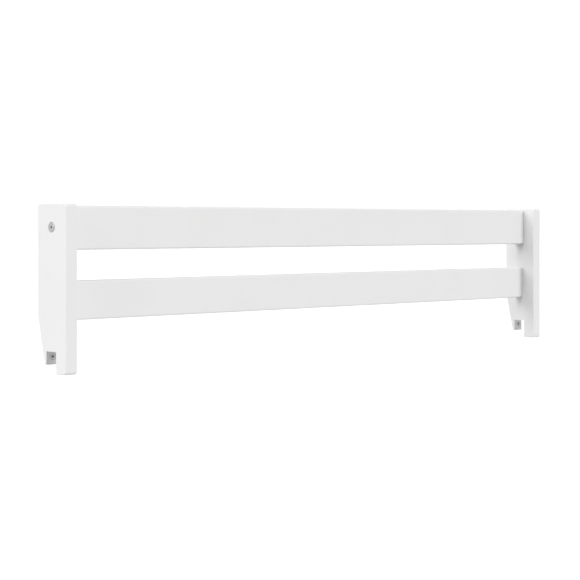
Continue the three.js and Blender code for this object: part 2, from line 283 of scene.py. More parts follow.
class Sheet:
    """A node tree that is written node by node."""

    def __init__(self, tree):
        self.tree = tree
        self.tree.nodes.clear()

    def node(self, kind, settings=None, values=None, output=0):
        """Adds a node, its settings first, then its sockets, and gives one output."""
        made = self.tree.nodes.new(kind)
        for name, value in (settings or {}).items():
            setattr(made, name, value)
        for key, value in (values or {}).items():
            if isinstance(value, Value):
                self.tree.links.new(value.socket, made.inputs[key])
            else:
                made.inputs[key].default_value = value
        return Value(self, made.outputs[output]) if made.outputs else made

    def split(self, vector):
        """The three parts of a vector."""
        return [self.node("ShaderNodeSeparateXYZ", values={"Vector": vector}, output=axis)
                for axis in "XYZ"]

    def mix_colours(self, factor, first, second):
        first, second = ((*tint, 1) if isinstance(tint, tuple) else tint
                         for tint in (first, second))
        return self.node("ShaderNodeMix", {"data_type": "RGBA", "clamp_factor": True},
                         {0: factor, 6: first, 7: second}, output=2)

    def noise(self, place, scale, detail=2.0, roughness=0.5, stretch=(1, 1, 1)):
        """Noise whose grains are 1 / scale metres, shortened along each axis by stretch."""
        mapped = self.node("ShaderNodeMapping", values={"Vector": place, "Scale": stretch})
        return self.node(
            "ShaderNodeTexNoise", {"noise_dimensions": "3D"},
            {"Vector": mapped, "Scale": scale, "Detail": detail, "Roughness": roughness})


def new_material(name):
    made = bpy.data.materials.new(name)
    made.use_nodes = True
    return made, Sheet(made.node_tree)


def finish_surface(sheet, values):
    """Ends a material in a Principled shader."""
    shader = sheet.node("ShaderNodeBsdfPrincipled", values=values)
    sheet.node("ShaderNodeOutputMaterial", values={"Surface": shader})


def relief(sheet, height, depth):
    """A normal bent by a height from 0 to 1, which stands for depth metres."""
    return sheet.node(
        "ShaderNodeBump", values={"Strength": 1.0, "Distance": depth, "Height": height})


def rounded_edge_mask(sheet):
    """1 on the rounded edges, where the normal lies along no axis, and 0 on flat faces."""
    x, y, z = sheet.split(sheet.node("ShaderNodeNewGeometry", output="Normal"))
    largest = abs(x).above(abs(y)).above(abs(z))
    return (1 - largest).ramp(0.04, 0.28)


def shaded(base, part):
    """A colour made darker or lighter."""
    return tuple(min(1.0, channel * part) for channel in base)


def along_grain(along, stretch):
    """Scales that draw a noise out along the axis of the wood's grain."""
    return tuple(stretch if axis == along else 1.0 for axis in "XYZ")


def lacquer_material(name, along, wood):
    """White satin lacquer over solid wood, whose grain runs along the given axis."""
    material, sheet = new_material(name)
    place = sheet.node("ShaderNodeTexCoord", output="Object")
    stretch = along_grain(along, 0.03)
    grain = sheet.noise(place, 260, 3.0, 0.6, stretch)
    pores = sheet.noise(place, 900, 1.0, 0.5, stretch).ramp(0.56, 0.72)
    peel = sheet.noise(place, 520, 1.0, 0.4)
    cloud = sheet.noise(place, 11, 2.0, 0.5)
    edge = rounded_edge_mask(sheet)
    base = tuple(wood.lacquer)
    tint = sheet.mix_colours(cloud.ramp(0.35, 0.7) * 0.5 + pores * 0.25,
                             base, shaded(base, 0.972))
    tint = sheet.mix_colours(edge * 0.6, tint, shaded(base, 1.02))
    gloss = wood.lacquer_roughness
    roughness = (cloud - 0.5) * 0.10 + (grain - 0.5) * 0.06 - edge * 0.06 + gloss
    height = grain * 0.45 + peel * 0.45 - pores * 0.10
    finish_surface(sheet, {
        "Base Color": tint,
        "Roughness": roughness,
        "IOR": 1.48,
        "Coat Weight": 0.12,
        "Coat Roughness": 0.22,
        "Normal": relief(sheet, height, mm(0.03)),
    })
    return material


def steel_material(name, rings, finish, socket=None):
    """Zinc-plated steel of a finish, which is its colour and its roughness.

    rings gives a turned face's distance from its axis. socket is the radius within which the
    colour is darkened, painted shade inside the socket.
    """
    zinc, gloss = finish
    material, sheet = new_material(name)
    place = sheet.node("ShaderNodeTexCoord", output="Object")
    bloom = sheet.noise(place, 340, 3.0, 0.6)
    grain = sheet.noise(place, 4200, 1.0, 0.5)
    scuff = sheet.noise(place, 1500, 2.0, 0.6, (1.0, 1.0, 0.08)).ramp(0.58, 0.74)
    base = tuple(zinc)
    tint = sheet.mix_colours(bloom.ramp(0.3, 0.7), base, shaded(base, 0.86))
    roughness = (bloom - 0.5) * 0.18 + scuff * 0.08 + gloss
    height = grain * 0.5 + bloom * 0.5
    if rings:
        radius = rings(sheet, place)
        tool_marks = sheet.node("ShaderNodeMath", {"operation": "SINE"},
                                {0: radius * TOOL_MARKS})
        height = height * 0.5 + tool_marks * 0.25
        if socket:
            # Painted shade: inside the socket's radius the colour is darkened to 30%, on top of
            # the socket that is cut in the mesh
            inside = radius.ramp(socket + mm(0.1), socket - mm(0.1))
            tint = sheet.mix_colours(inside, tint, shaded(base, 0.3))
    finish_surface(sheet, {
        "Base Color": tint,
        "Metallic": 1.0,
        "Roughness": roughness,
        "Normal": relief(sheet, height, mm(0.012)),
    })
    return material


def distance_from(sheet, place, axis, centre):
    """Distance from an axis through centre, or from its mirror image across X = 0."""
    x, y, z = sheet.split(place)
    offsets = {"X": abs(x) - centre.x, "Y": y - centre.y, "Z": z - centre.z}
    first, second = (offset for name, offset in offsets.items() if name != axis)
    return sheet.node("ShaderNodeMath", {"operation": "SQRT"},
                      {0: first * first + second * second})


def beech_material(name, wood):
    """Bare beech, whose grain runs along the dowels."""
    material, sheet = new_material(name)
    place = sheet.node("ShaderNodeTexCoord", output="Object")
    grain = sheet.noise(place, 420, 4.0, 0.6, along_grain("X", 0.05))
    flecks = sheet.noise(place, 1600, 1.0, 0.5, along_grain("X", 0.22)).ramp(0.60, 0.70)
    base = tuple(wood.beech)
    tint = sheet.mix_colours(grain.ramp(0.35, 0.65) * 0.6 + flecks * 0.4,
                             base, shaded(base, 0.68))
    finish_surface(sheet, {
        "Base Color": tint,
        "Roughness": grain * 0.15 + 0.6,
        "Normal": relief(sheet, grain * 0.7 + flecks * 0.3, mm(0.05)),
    })
    return material


# ---------------------------------------------------------------- mesh tools

def new_object(name, mesh):
    made = bpy.data.objects.new(name, mesh)
    bpy.context.scene.collection.objects.link(made)
    return made


def mesh_from(name, points, faces):
    mesh = bpy.data.meshes.new(name)
    mesh.from_pydata(points, [], faces)
    return mesh


def settled(work, name):
    """The object's mesh with its modifiers applied, as a plain object of that name."""
    graph = bpy.context.evaluated_depsgraph_get()
    mesh = bpy.data.meshes.new_from_object(work.evaluated_get(graph))
    mesh.name = name
    bpy.data.objects.remove(work)
    return new_object(name, mesh)


def outline(corners, inset, segments):
    """Points of a closed counter-clockwise outline moved inwards by inset.

    A corner is (first, second, radius). Every inset gives as many points.
    """
    points = []
    total = len(corners)
    for index, (first, second, radius) in enumerate(corners):
        here = Vector((first, second))
        before = (here - Vector(corners[index - 1][:2])).normalized()
        after = (Vector(corners[(index + 1) % total][:2]) - here).normalized()
        turn = math.atan2(before.cross(after), before.dot(after))
        left_before = Vector((-before.y, before.x))
        left_after = Vector((-after.y, after.x))
        inward = (left_before + left_after).normalized() / math.cos(turn / 2)
        corner = here + inward * inset
        if radius == 0:
            points.append(corner)
            continue
        left = max(radius - inset, 0.0) if turn > 0 else radius + inset
        centre = corner + inward * (left if turn > 0 else -left)
        spoke = -left_before if turn > 0 else left_before
        for step in range(segments + 1):
            points.append(centre + Matrix.Rotation(turn * step / segments, 2) @ spoke * left)
    return points


def rounded_slab(name, corners, thickness, edge, segments, place):
    """A slab on an outline, its two faces' edges rounded.

    place turns a point's two outline places and its height through the slab into X, Y, Z.
    """
    corner_segments, edge_segments = segments
    layers = []
    for step in range(edge_segments + 1):
        angle = math.pi / 2 * step / edge_segments
        layers.append((edge * (1 - math.sin(angle)),
                       edge * (1 - math.cos(angle)) - thickness / 2))
    layers += [(inset, -height) for inset, height in reversed(layers)]
    points = []
    for inset, height in layers:
        ring = outline(corners, inset, corner_segments)
        points += [place(point.x, point.y, height) for point in ring]
    around = len(points) // len(layers)
    faces = [list(range(around))[::-1]]
    for layer in range(len(layers) - 1):
        for index in range(around):
            beside = (index + 1) % around
            faces.append([layer * around + index, layer * around + beside,
                          (layer + 1) * around + beside, (layer + 1) * around + index])
    faces.append([(len(layers) - 1) * around + index for index in range(around)])
    return mesh_from(name, points, faces)


def turned(name, profile, segments):
    """A solid of revolution round Z from pairs of radius and height, from the bottom up."""
    points, rings = [], []
    for radius, height in profile:
        rings.append(len(points))
        if radius == 0:
            points.append((0, 0, height))
            continue
        for step in range(segments):
            angle = 2 * math.pi * step / segments
            points.append((radius * math.cos(angle), radius * math.sin(angle), height))
    faces = []
    for lower, upper, (low, _), (high, _) in zip(rings, rings[1:], profile, profile[1:]):
        for step in range(segments):
            beside = (step + 1) % segments
            if low == 0:
                faces.append([lower, upper + beside, upper + step])
            elif high == 0:
                faces.append([lower + step, lower + beside, upper])
            else:
                faces.append([lower + step, lower + beside, upper + beside, upper + step])
    return mesh_from(name, points, faces)


def block(name, low, high):
    """A box between two corners, to cut with."""
    corners = [(x, y, z) for x in (low[0], high[0]) for y in (low[1], high[1])
               for z in (low[2], high[2])]
    faces = [(0, 1, 3, 2), (4, 6, 7, 5), (0, 4, 5, 1), (2, 3, 7, 6), (0, 2, 6, 4), (1, 5, 7, 3)]
    return mesh_from(name, corners, faces)


def aimed(mesh, heading, place):
    """Turns a mesh that stands along Z to a heading, and moves it to its place."""
    turn = Vector(heading).to_track_quat("Z", "Y").to_matrix().to_4x4()
    mesh.transform(Matrix.Translation(place) @ turn)
    return mesh


def pin(name, diameter, start, end):
    """A cylinder between two points, to cut with."""
    start, end = Vector(start), Vector(end)
    length = (end - start).length
    radius = diameter / 2
    mesh = turned(name, [(0, 0), (radius, 0), (radius, length), (0, length)],
                  PIN_SEGMENTS)
    return aimed(mesh, end - start, start)


def carved(name, blank, cutters):
    """The blank less its cutters, as one closed mesh."""
    work = new_object(name + "_blank", blank)
    tools = []
    for index, cutter in enumerate(cutters):
        tool = new_object(f"{name}_cutter_{index}", cutter)
        modifier = work.modifiers.new(tool.name, "BOOLEAN")
        modifier.operation = "DIFFERENCE"
        modifier.solver = "EXACT"
        modifier.object = tool
        tools.append(tool)
    made = settled(work, name)
    for tool in tools:
        bpy.data.objects.remove(tool)
    return made


def ease_rims(piece, radius, least_angle=math.radians(50)):
    """Rounds every sharp edge that the cutters left."""
    work = bmesh.new()
    work.from_mesh(piece.data)
    bmesh.ops.remove_doubles(work, verts=work.verts, dist=WELD)
    bmesh.ops.dissolve_degenerate(work, dist=WELD, edges=work.edges)
    sharp = [edge for edge in work.edges
             if len(edge.link_faces) == 2 and edge.calc_face_angle() > least_angle]
    bmesh.ops.bevel(work, geom=sharp, offset=radius, offset_type="OFFSET", segments=2,
                    profile=0.5, affect="EDGES", clamp_overlap=True)
    work.to_mesh(piece.data)
    work.free()


def smooth(piece, crease=math.radians(32)):
    """Smooth shading with creases, the flat faces' normals kept true."""
    piece.data.shade_smooth()
    piece.data.set_sharp_from_angle(angle=crease)
    weighted = piece.modifiers.new("weighted", "WEIGHTED_NORMAL")
    weighted.keep_sharp = True
    weighted.mode = "FACE_AREA"
    return settled(piece, piece.name)


def check_closed(piece):
    """Stops the script if a piece has an open edge or is inside out."""
    work = bmesh.new()
    work.from_mesh(piece.data)
    open_edges = sum(1 for edge in work.edges if len(edge.link_faces) != 2)
    volume = work.calc_volume(signed=True)
    work.free()
    if open_edges or volume <= 0:
        raise RuntimeError(f"{piece.name} has {open_edges} open edges, volume {volume:g}")


def fit_piece(piece, node, material):
    """Smooths and finishes a piece, and puts it in a CAD node's stead."""
    piece = smooth(piece)
    check_closed(piece)
    piece.data.materials.clear()
    piece.data.materials.append(material)
    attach(piece, BODY)
    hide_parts(node)


# ---------------------------------------------------------------- Geometry Nodes

class Recipe(Sheet):
    """A Geometry Nodes tree with named inputs."""

    def __init__(self, name, lengths, counts, vectors):
        super().__init__(bpy.data.node_groups.new(name, "GeometryNodeTree"))
        self.keys = {}
        inputs = {"Geometry": ["Geometry"], "Float": lengths, "Int": counts,
                  "Vector": vectors, "Material": ["Material"]}
        for kind, labels in inputs.items():
            for label in labels:
                socket = self.tree.interface.new_socket(
                    label, in_out="INPUT", socket_type="NodeSocket" + kind)
                self.keys[label] = socket.identifier
        self.tree.interface.new_socket(
            "Geometry", in_out="OUTPUT", socket_type="NodeSocketGeometry")
        self.entry = self.tree.nodes.new("NodeGroupInput")

    def take(self, label):
        return Value(self, self.entry.outputs[label])

    def vector(self, x=0.0, y=0.0, z=0.0):
        return self.node("ShaderNodeCombineXYZ", values={"X": x, "Y": y, "Z": z})

    def move(self, geometry, place, turn=(0, 0, 0)):
        return self.node("GeometryNodeTransform", values={
            "Geometry": geometry, "Translation": place, "Rotation": turn})

    def cut(self, blank, cutter):
        return self.node(
            "GeometryNodeMeshBoolean", {"operation": "DIFFERENCE", "solver": "EXACT"},
            {"Mesh 1": blank, "Mesh 2": cutter})

    def end(self, geometry):
        """Ends the tree in real geometry with its material."""
        real = self.node("GeometryNodeRealizeInstances", values={"Geometry": geometry})
        smooth_faces = self.node("GeometryNodeSetShadeSmooth", values={"Geometry": real})
        finished = self.node("GeometryNodeSetMaterial", values={
            "Geometry": smooth_faces, "Material": self.take("Material")})
        self.node("NodeGroupOutput", values={"Geometry": finished})

    def make(self, name, values, base=None):
        """Runs the tree with these inputs, and gives a plain object."""
        work = new_object(name + "_recipe", base or bpy.data.meshes.new(name + "_base"))
        modifier = work.modifiers.new("recipe", "NODES")
        modifier.node_group = self.tree
        for label, value in values.items():
            modifier[self.keys[label]] = value
        return settled(work, name)


def rail_recipe():
    """A straight rail: a rounded section swept along X, bored at its ends and its back."""
    recipe = Recipe("Rail", counts=["Edge Segments"], vectors=["Centre"], lengths=[
        "Length", "Height", "Thickness", "Edge Radius", "Dowel Hole", "Dowel Spacing",
        "Dowel Depth", "Bolt Hole", "Bolt Rise", "Bolt Depth", "Nut Hole", "Nut Place",
        "Nut Depth"])
    length, height = recipe.take("Length"), recipe.take("Height")
    thickness = recipe.take("Thickness")
    section = recipe.node("GeometryNodeCurvePrimitiveQuadrilateral", {"mode": "RECTANGLE"},
                          {"Width": height, "Height": thickness})
    section = recipe.node("GeometryNodeFilletCurve", {"mode": "POLY"}, {
        "Curve": section, "Count": recipe.take("Edge Segments"),
        "Radius": recipe.take("Edge Radius"), "Limit Radius": True})
    path = recipe.node("GeometryNodeCurvePrimitiveLine", {"mode": "POINTS"}, {
        "Start": recipe.vector(z=length * -0.5), "End": recipe.vector(z=length * 0.5)})
    bar = recipe.node("GeometryNodeCurveToMesh", values={
        "Curve": path, "Profile Curve": section, "Fill Caps": True})
    bar = recipe.node("GeometryNodeTransform", values={
        "Geometry": bar, "Rotation": (0, math.pi / 2, 0)})

    def drill(diameter, depth, place, turn):
        """A cutter centred OVERRUN off the rail's surface, which goes depth into the rail."""
        cylinder = recipe.node("GeometryNodeMeshCylinder", {"fill_type": "NGON"}, {
            "Vertices": DRILL_SEGMENTS, "Radius": diameter * 0.5,
            "Depth": (depth + OVERRUN) * 2})
        return recipe.move(cylinder, place, turn)

    along, inward = (0, math.pi / 2, 0), (math.pi / 2, 0, 0)
    for sign in SIDES.values():
        end_x = (length * 0.5 + OVERRUN) * sign
        for rise in (0.5, -0.5):
            hole = drill(recipe.take("Dowel Hole"), recipe.take("Dowel Depth"),
                         recipe.vector(x=end_x, z=recipe.take("Dowel Spacing") * rise), along)
            bar = recipe.cut(bar, hole)
        bore = drill(recipe.take("Bolt Hole"), recipe.take("Bolt Depth"),
                     recipe.vector(x=end_x, z=recipe.take("Bolt Rise")), along)
        bar = recipe.cut(bar, bore)
        cross = drill(recipe.take("Nut Hole"), recipe.take("Nut Depth"),
                      recipe.vector(x=recipe.take("Nut Place") * sign,
                                    y=thickness * 0.5 + OVERRUN,
                                    z=recipe.take("Bolt Rise")), inward)
        bar = recipe.cut(bar, cross)
    recipe.end(recipe.move(bar, recipe.take("Centre")))
    return recipe


def screw_recipe():
    """A turned and threaded screw: its profile is spun round Z, then a socket is cut.

    The base mesh is the profile, a line of points up Z with a radius attribute.
    """
    recipe = Recipe("Screw", counts=["Segments"], vectors=["Turn", "Place"], lengths=[
        "Thread Top", "Thread Foot", "Pitch", "Thread Depth", "Socket Width",
        "Socket Depth", "Face"])
    line = recipe.node("GeometryNodeMeshToCurve", values={"Mesh": recipe.take("Geometry")})
    radius = recipe.node("GeometryNodeInputNamedAttribute", {"data_type": "FLOAT"},
                         {"Name": "radius"})
    line = recipe.node("GeometryNodeSetCurveRadius", values={"Curve": line, "Radius": radius})
    circle = recipe.node("GeometryNodeCurvePrimitiveCircle", {"mode": "RADIUS"}, {
        "Resolution": recipe.take("Segments"), "Radius": 1.0})
    body = recipe.node("GeometryNodeCurveToMesh", values={
        "Curve": line, "Profile Curve": circle, "Fill Caps": True, "Scale": radius})
    x, y, z = recipe.split(recipe.node("GeometryNodeInputPosition"))
    angle = recipe.node("ShaderNodeMath", {"operation": "ARCTAN2"}, {0: y, 1: x})
    phase = z / recipe.take("Pitch") - angle / (2 * math.pi)
    ridge = recipe.node("ShaderNodeMath", {"operation": "PINGPONG"}, {0: phase, 1: 0.5}) * 2
    inside = (((recipe.take("Thread Top") - z) / THREAD_RUN_OUT).above(0.0).below(1.0)
              * ((z - recipe.take("Thread Foot")) / THREAD_RUN_OUT).above(0.0).below(1.0))
    reach = recipe.node("ShaderNodeVectorMath", {"operation": "LENGTH"},
                        {0: recipe.vector(x, y)}, output="Value").above(THREAD_CORE)
    scale = 1 - inside * ridge * recipe.take("Thread Depth") / reach
    body = recipe.node("GeometryNodeSetPosition", values={
        "Geometry": body, "Position": recipe.vector(x * scale, y * scale, z)})
    depth = recipe.take("Socket Depth")
    hexagon = recipe.node("GeometryNodeMeshCylinder", {"fill_type": "NGON"}, {
        "Vertices": 6, "Radius": recipe.take("Socket Width") / math.sqrt(3),
        "Depth": depth + OVERRUN})
    hexagon = recipe.move(hexagon, recipe.vector(
        z=recipe.take("Face") + (OVERRUN - depth) * 0.5))
    body = recipe.cut(body, hexagon)
    recipe.end(recipe.move(body, recipe.take("Place"), recipe.take("Turn")))
    return recipe


def dowel_recipe():
    """A fluted dowel along X: a star section swept along a line that narrows at its ends."""
    recipe = Recipe("Dowel", counts=["Flutes", "Rings"], vectors=["Place"], lengths=[
        "Length", "Diameter", "Flute Depth", "Chamfer"])
    radius = recipe.take("Diameter") * 0.5
    section = recipe.node("GeometryNodeCurveStar", values={
        "Points": recipe.take("Flutes"), "Inner Radius": radius - recipe.take("Flute Depth"),
        "Outer Radius": radius}, output="Curve")
    section = recipe.node("GeometryNodeFilletCurve", {"mode": "POLY"}, {
        "Curve": section, "Count": CREST_SEGMENTS,
        "Radius": recipe.take("Flute Depth") * CREST_ROUNDING, "Limit Radius": True})
    half = recipe.take("Length") * 0.5
    chamfer = recipe.take("Chamfer")
    path = recipe.node("GeometryNodeCurvePrimitiveLine", {"mode": "POINTS"}, {
        "Start": recipe.vector(z=half * -1), "End": recipe.vector(z=half)})
    path = recipe.node("GeometryNodeResampleCurve", {"mode": "COUNT"}, {
        "Curve": path, "Count": recipe.take("Rings")})
    height = recipe.split(recipe.node("GeometryNodeInputPosition"))[2]
    from_end = ((half - abs(height)) / chamfer).below(1.0)
    narrow = 1 - (1 - from_end) * chamfer / radius
    bar = recipe.node("GeometryNodeCurveToMesh", values={
        "Curve": path, "Profile Curve": section, "Fill Caps": True, "Scale": narrow})
    recipe.end(recipe.move(bar, recipe.take("Place"), (0, math.pi / 2, 0)))
    return recipe


# ---------------------------------------------------------------- operators

def corners_of(node):
    """The low corner, the high corner and the middle of a CAD node's box."""
    low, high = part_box(node)
    return low, high, (low + high) / 2


def middle_of(node):
    return corners_of(node)[2]


def materials_of(context):
    """The object's finishes, each made once."""
    wood, hardware = context.scene.guard_wood, context.scene.guard_hardware
    dull = hardware.dull_zinc, hardware.dull_roughness
    bright = hardware.bright_zinc, hardware.bright_roughness
    bolt_axis = middle_of("right_connector_bolt")
    screw_axis = middle_of("right_plate_screw")

    def bolt_rings(sheet, place):
        return distance_from(sheet, place, "X", bolt_axis)

    def screw_rings(sheet, place):
        return distance_from(sheet, place, "Y", screw_axis)

    makers = {
        "rail_lacquer": lambda name: lacquer_material(name, "X", wood),
        "board_lacquer": lambda name: lacquer_material(name, "Z", wood),
        "plate_steel": lambda name: steel_material(name, None, bright),
        "bolt_steel": lambda name: steel_material(name, bolt_rings, dull),
        "screw_steel": lambda name: steel_material(
            name, screw_rings, dull, hardware.screw_socket / 2),
        "dowel_beech": lambda name: beech_material(name, wood),
    }
    return {name: bpy.data.materials.get(name) or make(name) for name, make in makers.items()}


class GUARD_OT_rails(bpy.types.Operator):
    """Sweep the top and lower rail and bore them for their dowels, bolts and nuts"""

    bl_idname = "guard.rails"
    bl_label = "Rails"

    def execute(self, context):
        wood, hardware = context.scene.guard_wood, context.scene.guard_hardware
        material = materials_of(context)["rail_lacquer"]
        recipe = rail_recipe()
        for node in ("top_rail", "lower_rail"):
            low, high, centre = corners_of(node)
            extent = high - low
            bolted = node == "top_rail"
            upper_low, _, upper = corners_of(f"right_{node}_dowel_1")
            lower = middle_of(f"right_{node}_dowel_2")
            bolt_low, _, bolt = corners_of("right_connector_bolt")
            nut_low, nut_high, nut = corners_of("right_barrel_nut")
            piece = recipe.make(f"{node}_wood", {
                "Length": extent.x, "Height": extent.z, "Thickness": extent.y,
                "Edge Radius": wood.rail_edge_radius,
                "Edge Segments": wood.edge_segments, "Centre": centre,
                "Dowel Hole": wood.dowel_hole, "Dowel Spacing": upper.z - lower.z,
                "Dowel Depth": high.x - upper_low.x + END_ROOM,
                "Bolt Hole": hardware.bolt_shank + 2 * hardware.clearance,
                "Bolt Rise": bolt.z - centre.z if bolted else 0.0,
                "Bolt Depth": high.x - bolt_low.x + END_ROOM if bolted else NO_DEPTH,
                "Nut Hole": nut_high.x - nut_low.x + 2 * hardware.clearance,
                "Nut Place": nut.x,
                "Nut Depth": (high.y - nut_low.y + hardware.clearance if bolted
                              else NO_DEPTH),
                "Material": material})
            fit_piece(piece, node, material)
        return {"FINISHED"}


class GUARD_OT_end_boards(bpy.types.Operator):
    """Shape the two forked end boards, with their slots and holes"""

    bl_idname = "guard.end_boards"
    bl_label = "End Boards"

    def execute(self, context):
        wood, hardware = context.scene.guard_wood, context.scene.guard_hardware
        material = materials_of(context)["board_lacquer"]
        for side, sign in SIDES.items():
            node = f"{side}_end_board"
            low, high, centre = corners_of(node)
            thickness = high.x - low.x
            slot_front = low.y + wood.front_leg_depth
            plate_front = slot_front + wood.slot_width
            slot_rear = plate_front + hardware.plate_thickness + hardware.seat_gap
            slot_middle = (slot_front + slot_rear) / 2
            rear_foot = -wood.rear_leg_length
            corners = [
                (low.y, low.z, wood.front_foot_corner),
                (slot_middle, low.z, 0),
                (slot_middle, rear_foot, 0),
                (slot_rear + wood.rear_foot_depth, rear_foot, wood.rear_foot_corner),
                (high.y, rear_foot + wood.taper_height, wood.taper_blend),
                (high.y, high.z, wood.top_corner),
                (low.y, high.z, wood.top_corner),
            ]
            blank = rounded_slab(
                node, corners, thickness, wood.edge_radius,
                (wood.corner_segments, wood.edge_segments),
                lambda y, z, height: (centre.x + height, y, z))
            cutters = [
                block("slot", (low.x - OVERRUN, slot_front, low.z - OVERRUN),
                      (high.x + OVERRUN, slot_rear, 0)),
                block("groove",
                      (low.x - OVERRUN, plate_front - hardware.seat_gap, -OVERRUN),
                      (high.x + OVERRUN, slot_rear, hardware.groove_depth)),
            ]
            bolt = middle_of(f"{side}_connector_bolt")
            outer_x = centre.x + sign * thickness / 2
            inner_x = centre.x - sign * thickness / 2
            head_seat = outer_x - sign * (hardware.bolt_head_thickness
                                          - hardware.bolt_head_proud + hardware.seat_gap)
            shank = hardware.bolt_shank / 2 + hardware.clearance
            head = hardware.bolt_head / 2 + hardware.clearance
            start, end = -thickness - OVERRUN, 2 * OVERRUN
            bolt_profile = [(0, start), (shank, start), (shank, 0), (head, 0), (head, end),
                            (0, end)]
            bolt_hole = turned("bolt_hole", bolt_profile, HOLE_SEGMENTS)
            cutters.append(aimed(bolt_hole, (sign, 0, 0), (head_seat, bolt.y, bolt.z)))
            for rail in ("top_rail", "lower_rail"):
                for number in (1, 2):
                    *ends, dowel = corners_of(f"{side}_{rail}_dowel_{number}")
                    bottom = ends[1 if sign > 0 else 0].x + sign * END_ROOM
                    cutters.append(pin("dowel_hole", wood.dowel_hole,
                                       (inner_x - sign * OVERRUN, dowel.y, dowel.z),
                                       (bottom, dowel.y, dowel.z)))
            cutters.append(screw_hole(hardware, centre.x, plate_front))
            piece = carved(f"{node}_wood", blank, cutters)
            ease_rims(piece, wood.rim_radius)
            fit_piece(piece, node, material)
        return {"FINISHED"}


def screw_profile(hardware, growth):
    """Countersunk profile of a plate screw, from its tip at the bottom to its face at 0."""
    screw_low, screw_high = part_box("right_plate_screw")
    length = screw_high.y - screw_low.y + growth
    head = hardware.screw_head / 2 + growth
    shank = hardware.screw_shank / 2 + growth
    neck = hardware.screw_land + (hardware.screw_head - hardware.screw_shank) / 2
    return [(shank - TIP_CHAMFER, -length), (shank, TIP_CHAMFER - length), (shank, -neck),
            (head, -hardware.screw_land), (head, 0)]


def screw_hole(hardware, centre_x, plate_front):
    """Cutter for a plate screw's hole, open towards the front."""
    profile = screw_profile(hardware, hardware.clearance)
    head = profile[-1][0]
    profile = [(0, profile[0][1]), *profile, (head, OVERRUN), (0, OVERRUN)]
    mesh = turned("screw_hole", profile, HOLE_SEGMENTS)
    return aimed(mesh, (0, -1, 0), (centre_x, plate_front, -hardware.screw_below_seat))


class GUARD_OT_connector_bolts(bpy.types.Operator):
    """Turn and thread the flat-headed connector bolts"""

    bl_idname = "guard.connector_bolts"
    bl_label = "Connector Bolts"

    def execute(self, context):
        hardware = context.scene.guard_hardware
        material = materials_of(context)["bolt_steel"]
        recipe = screw_recipe()
        for side, sign in SIDES.items():
            node = f"{side}_connector_bolt"
            low, high, centre = corners_of(node)
            head = hardware.bolt_head / 2
            shank, edge = hardware.bolt_shank / 2, hardware.bolt_head_edge
            thickness = hardware.bolt_head_thickness
            length = high.x - low.x - thickness
            tip = TIP_CHAMFER - length
            profile = [(shank - TIP_CHAMFER, -length), (shank, tip)]
            threaded = -tip - hardware.bolt_plain
            profile += stepped(shank, tip, threaded, hardware.bolt_pitch / BOLT_STEPS)
            profile += [(shank, -HEAD_FILLET), (shank + HEAD_FILLET, -HEAD_RISE),
                        (head, 0), (head, thickness - edge)]
            profile += rounded_rim(head, thickness, edge)
            face_x = high.x if sign > 0 else low.x
            fit_screw(recipe, "bolt", node, profile, material, hardware, {
                "Thread Top": -hardware.bolt_plain, "Thread Foot": TIP_CHAMFER / 2 - length,
                "Face": thickness, "Turn": (0, sign * math.pi / 2, 0),
                "Place": (face_x - sign * thickness, centre.y, centre.z)})
        return {"FINISHED"}


def stepped(radius, start, length, step):
    """Level points up a shank, close enough for a thread."""
    steps = max(1, round(length / step))
    return [(radius, start + length * index / steps) for index in range(1, steps + 1)]


def rounded_rim(radius, top, edge, segments=4):
    """Points round a head's rim, from its side to its face."""
    angles = [math.pi / 2 * step / segments for step in range(1, segments + 1)]
    return [(radius - edge * (1 - math.cos(angle)), top - edge * (1 - math.sin(angle)))
            for angle in angles]


def fit_screw(recipe, kind, node, profile, material, hardware, places):
    """Makes a bolt or a screw with its kind's thread and socket, and fits it."""
    pitch, thread, socket, socket_depth = (
        getattr(hardware, f"{kind}_{part}")
        for part in ("pitch", "thread", "socket", "socket_depth"))
    piece = recipe.make(f"{node}_steel", {
        "Segments": hardware.turned_segments, "Pitch": pitch, "Thread Depth": thread,
        "Socket Width": socket, "Socket Depth": socket_depth, "Material": material,
        **places}, profile_line(profile))
    fit_piece(piece, node, material)


def profile_line(profile):
    """A line of points up Z whose radius attribute holds a turned profile."""
    mesh = bpy.data.meshes.new("profile")
    edges = [(index, index + 1) for index in range(len(profile) - 1)]
    mesh.from_pydata([(0, 0, height) for _, height in profile], edges, [])
    radius = mesh.attributes.new("radius", "FLOAT", "POINT")
    radius.data.foreach_set("value", [value for value, _ in profile])
    return mesh


class GUARD_OT_barrel_nuts(bpy.types.Operator):
    """Turn the barrel nuts that the bolts screw into"""

    bl_idname = "guard.barrel_nuts"
    bl_label = "Barrel Nuts"

    def execute(self, context):
        hardware = context.scene.guard_hardware
        material = materials_of(context)["plate_steel"]
        for side in SIDES:
            node = f"{side}_barrel_nut"
            low, high, centre = corners_of(node)
            radius, half = (high.x - low.x) / 2, (high.y - low.y) / 2
            edge = hardware.nut_chamfer
            profile = [(0, -half), (radius - edge, -half), (radius, edge - half),
                       (radius, half - edge), (radius - edge, half), (0, half)]
            blank = turned(node, profile, hardware.turned_segments)
            aimed(blank, (0, 1, 0), centre)
            reach = Vector((2 * radius, 0, 0))
            slot = hardware.nut_slot
            cutters = [
                pin("thread_hole", hardware.bolt_shank + 2 * hardware.clearance,
                    centre - reach, centre + reach),
                block("driver_slot",
                      (low.x - radius, high.y - slot, centre.z - slot / 2),
                      (high.x + radius, high.y + slot, centre.z + slot / 2)),
            ]
            piece = carved(f"{node}_steel", blank, cutters)
            fit_piece(piece, node, material)
        return {"FINISHED"}


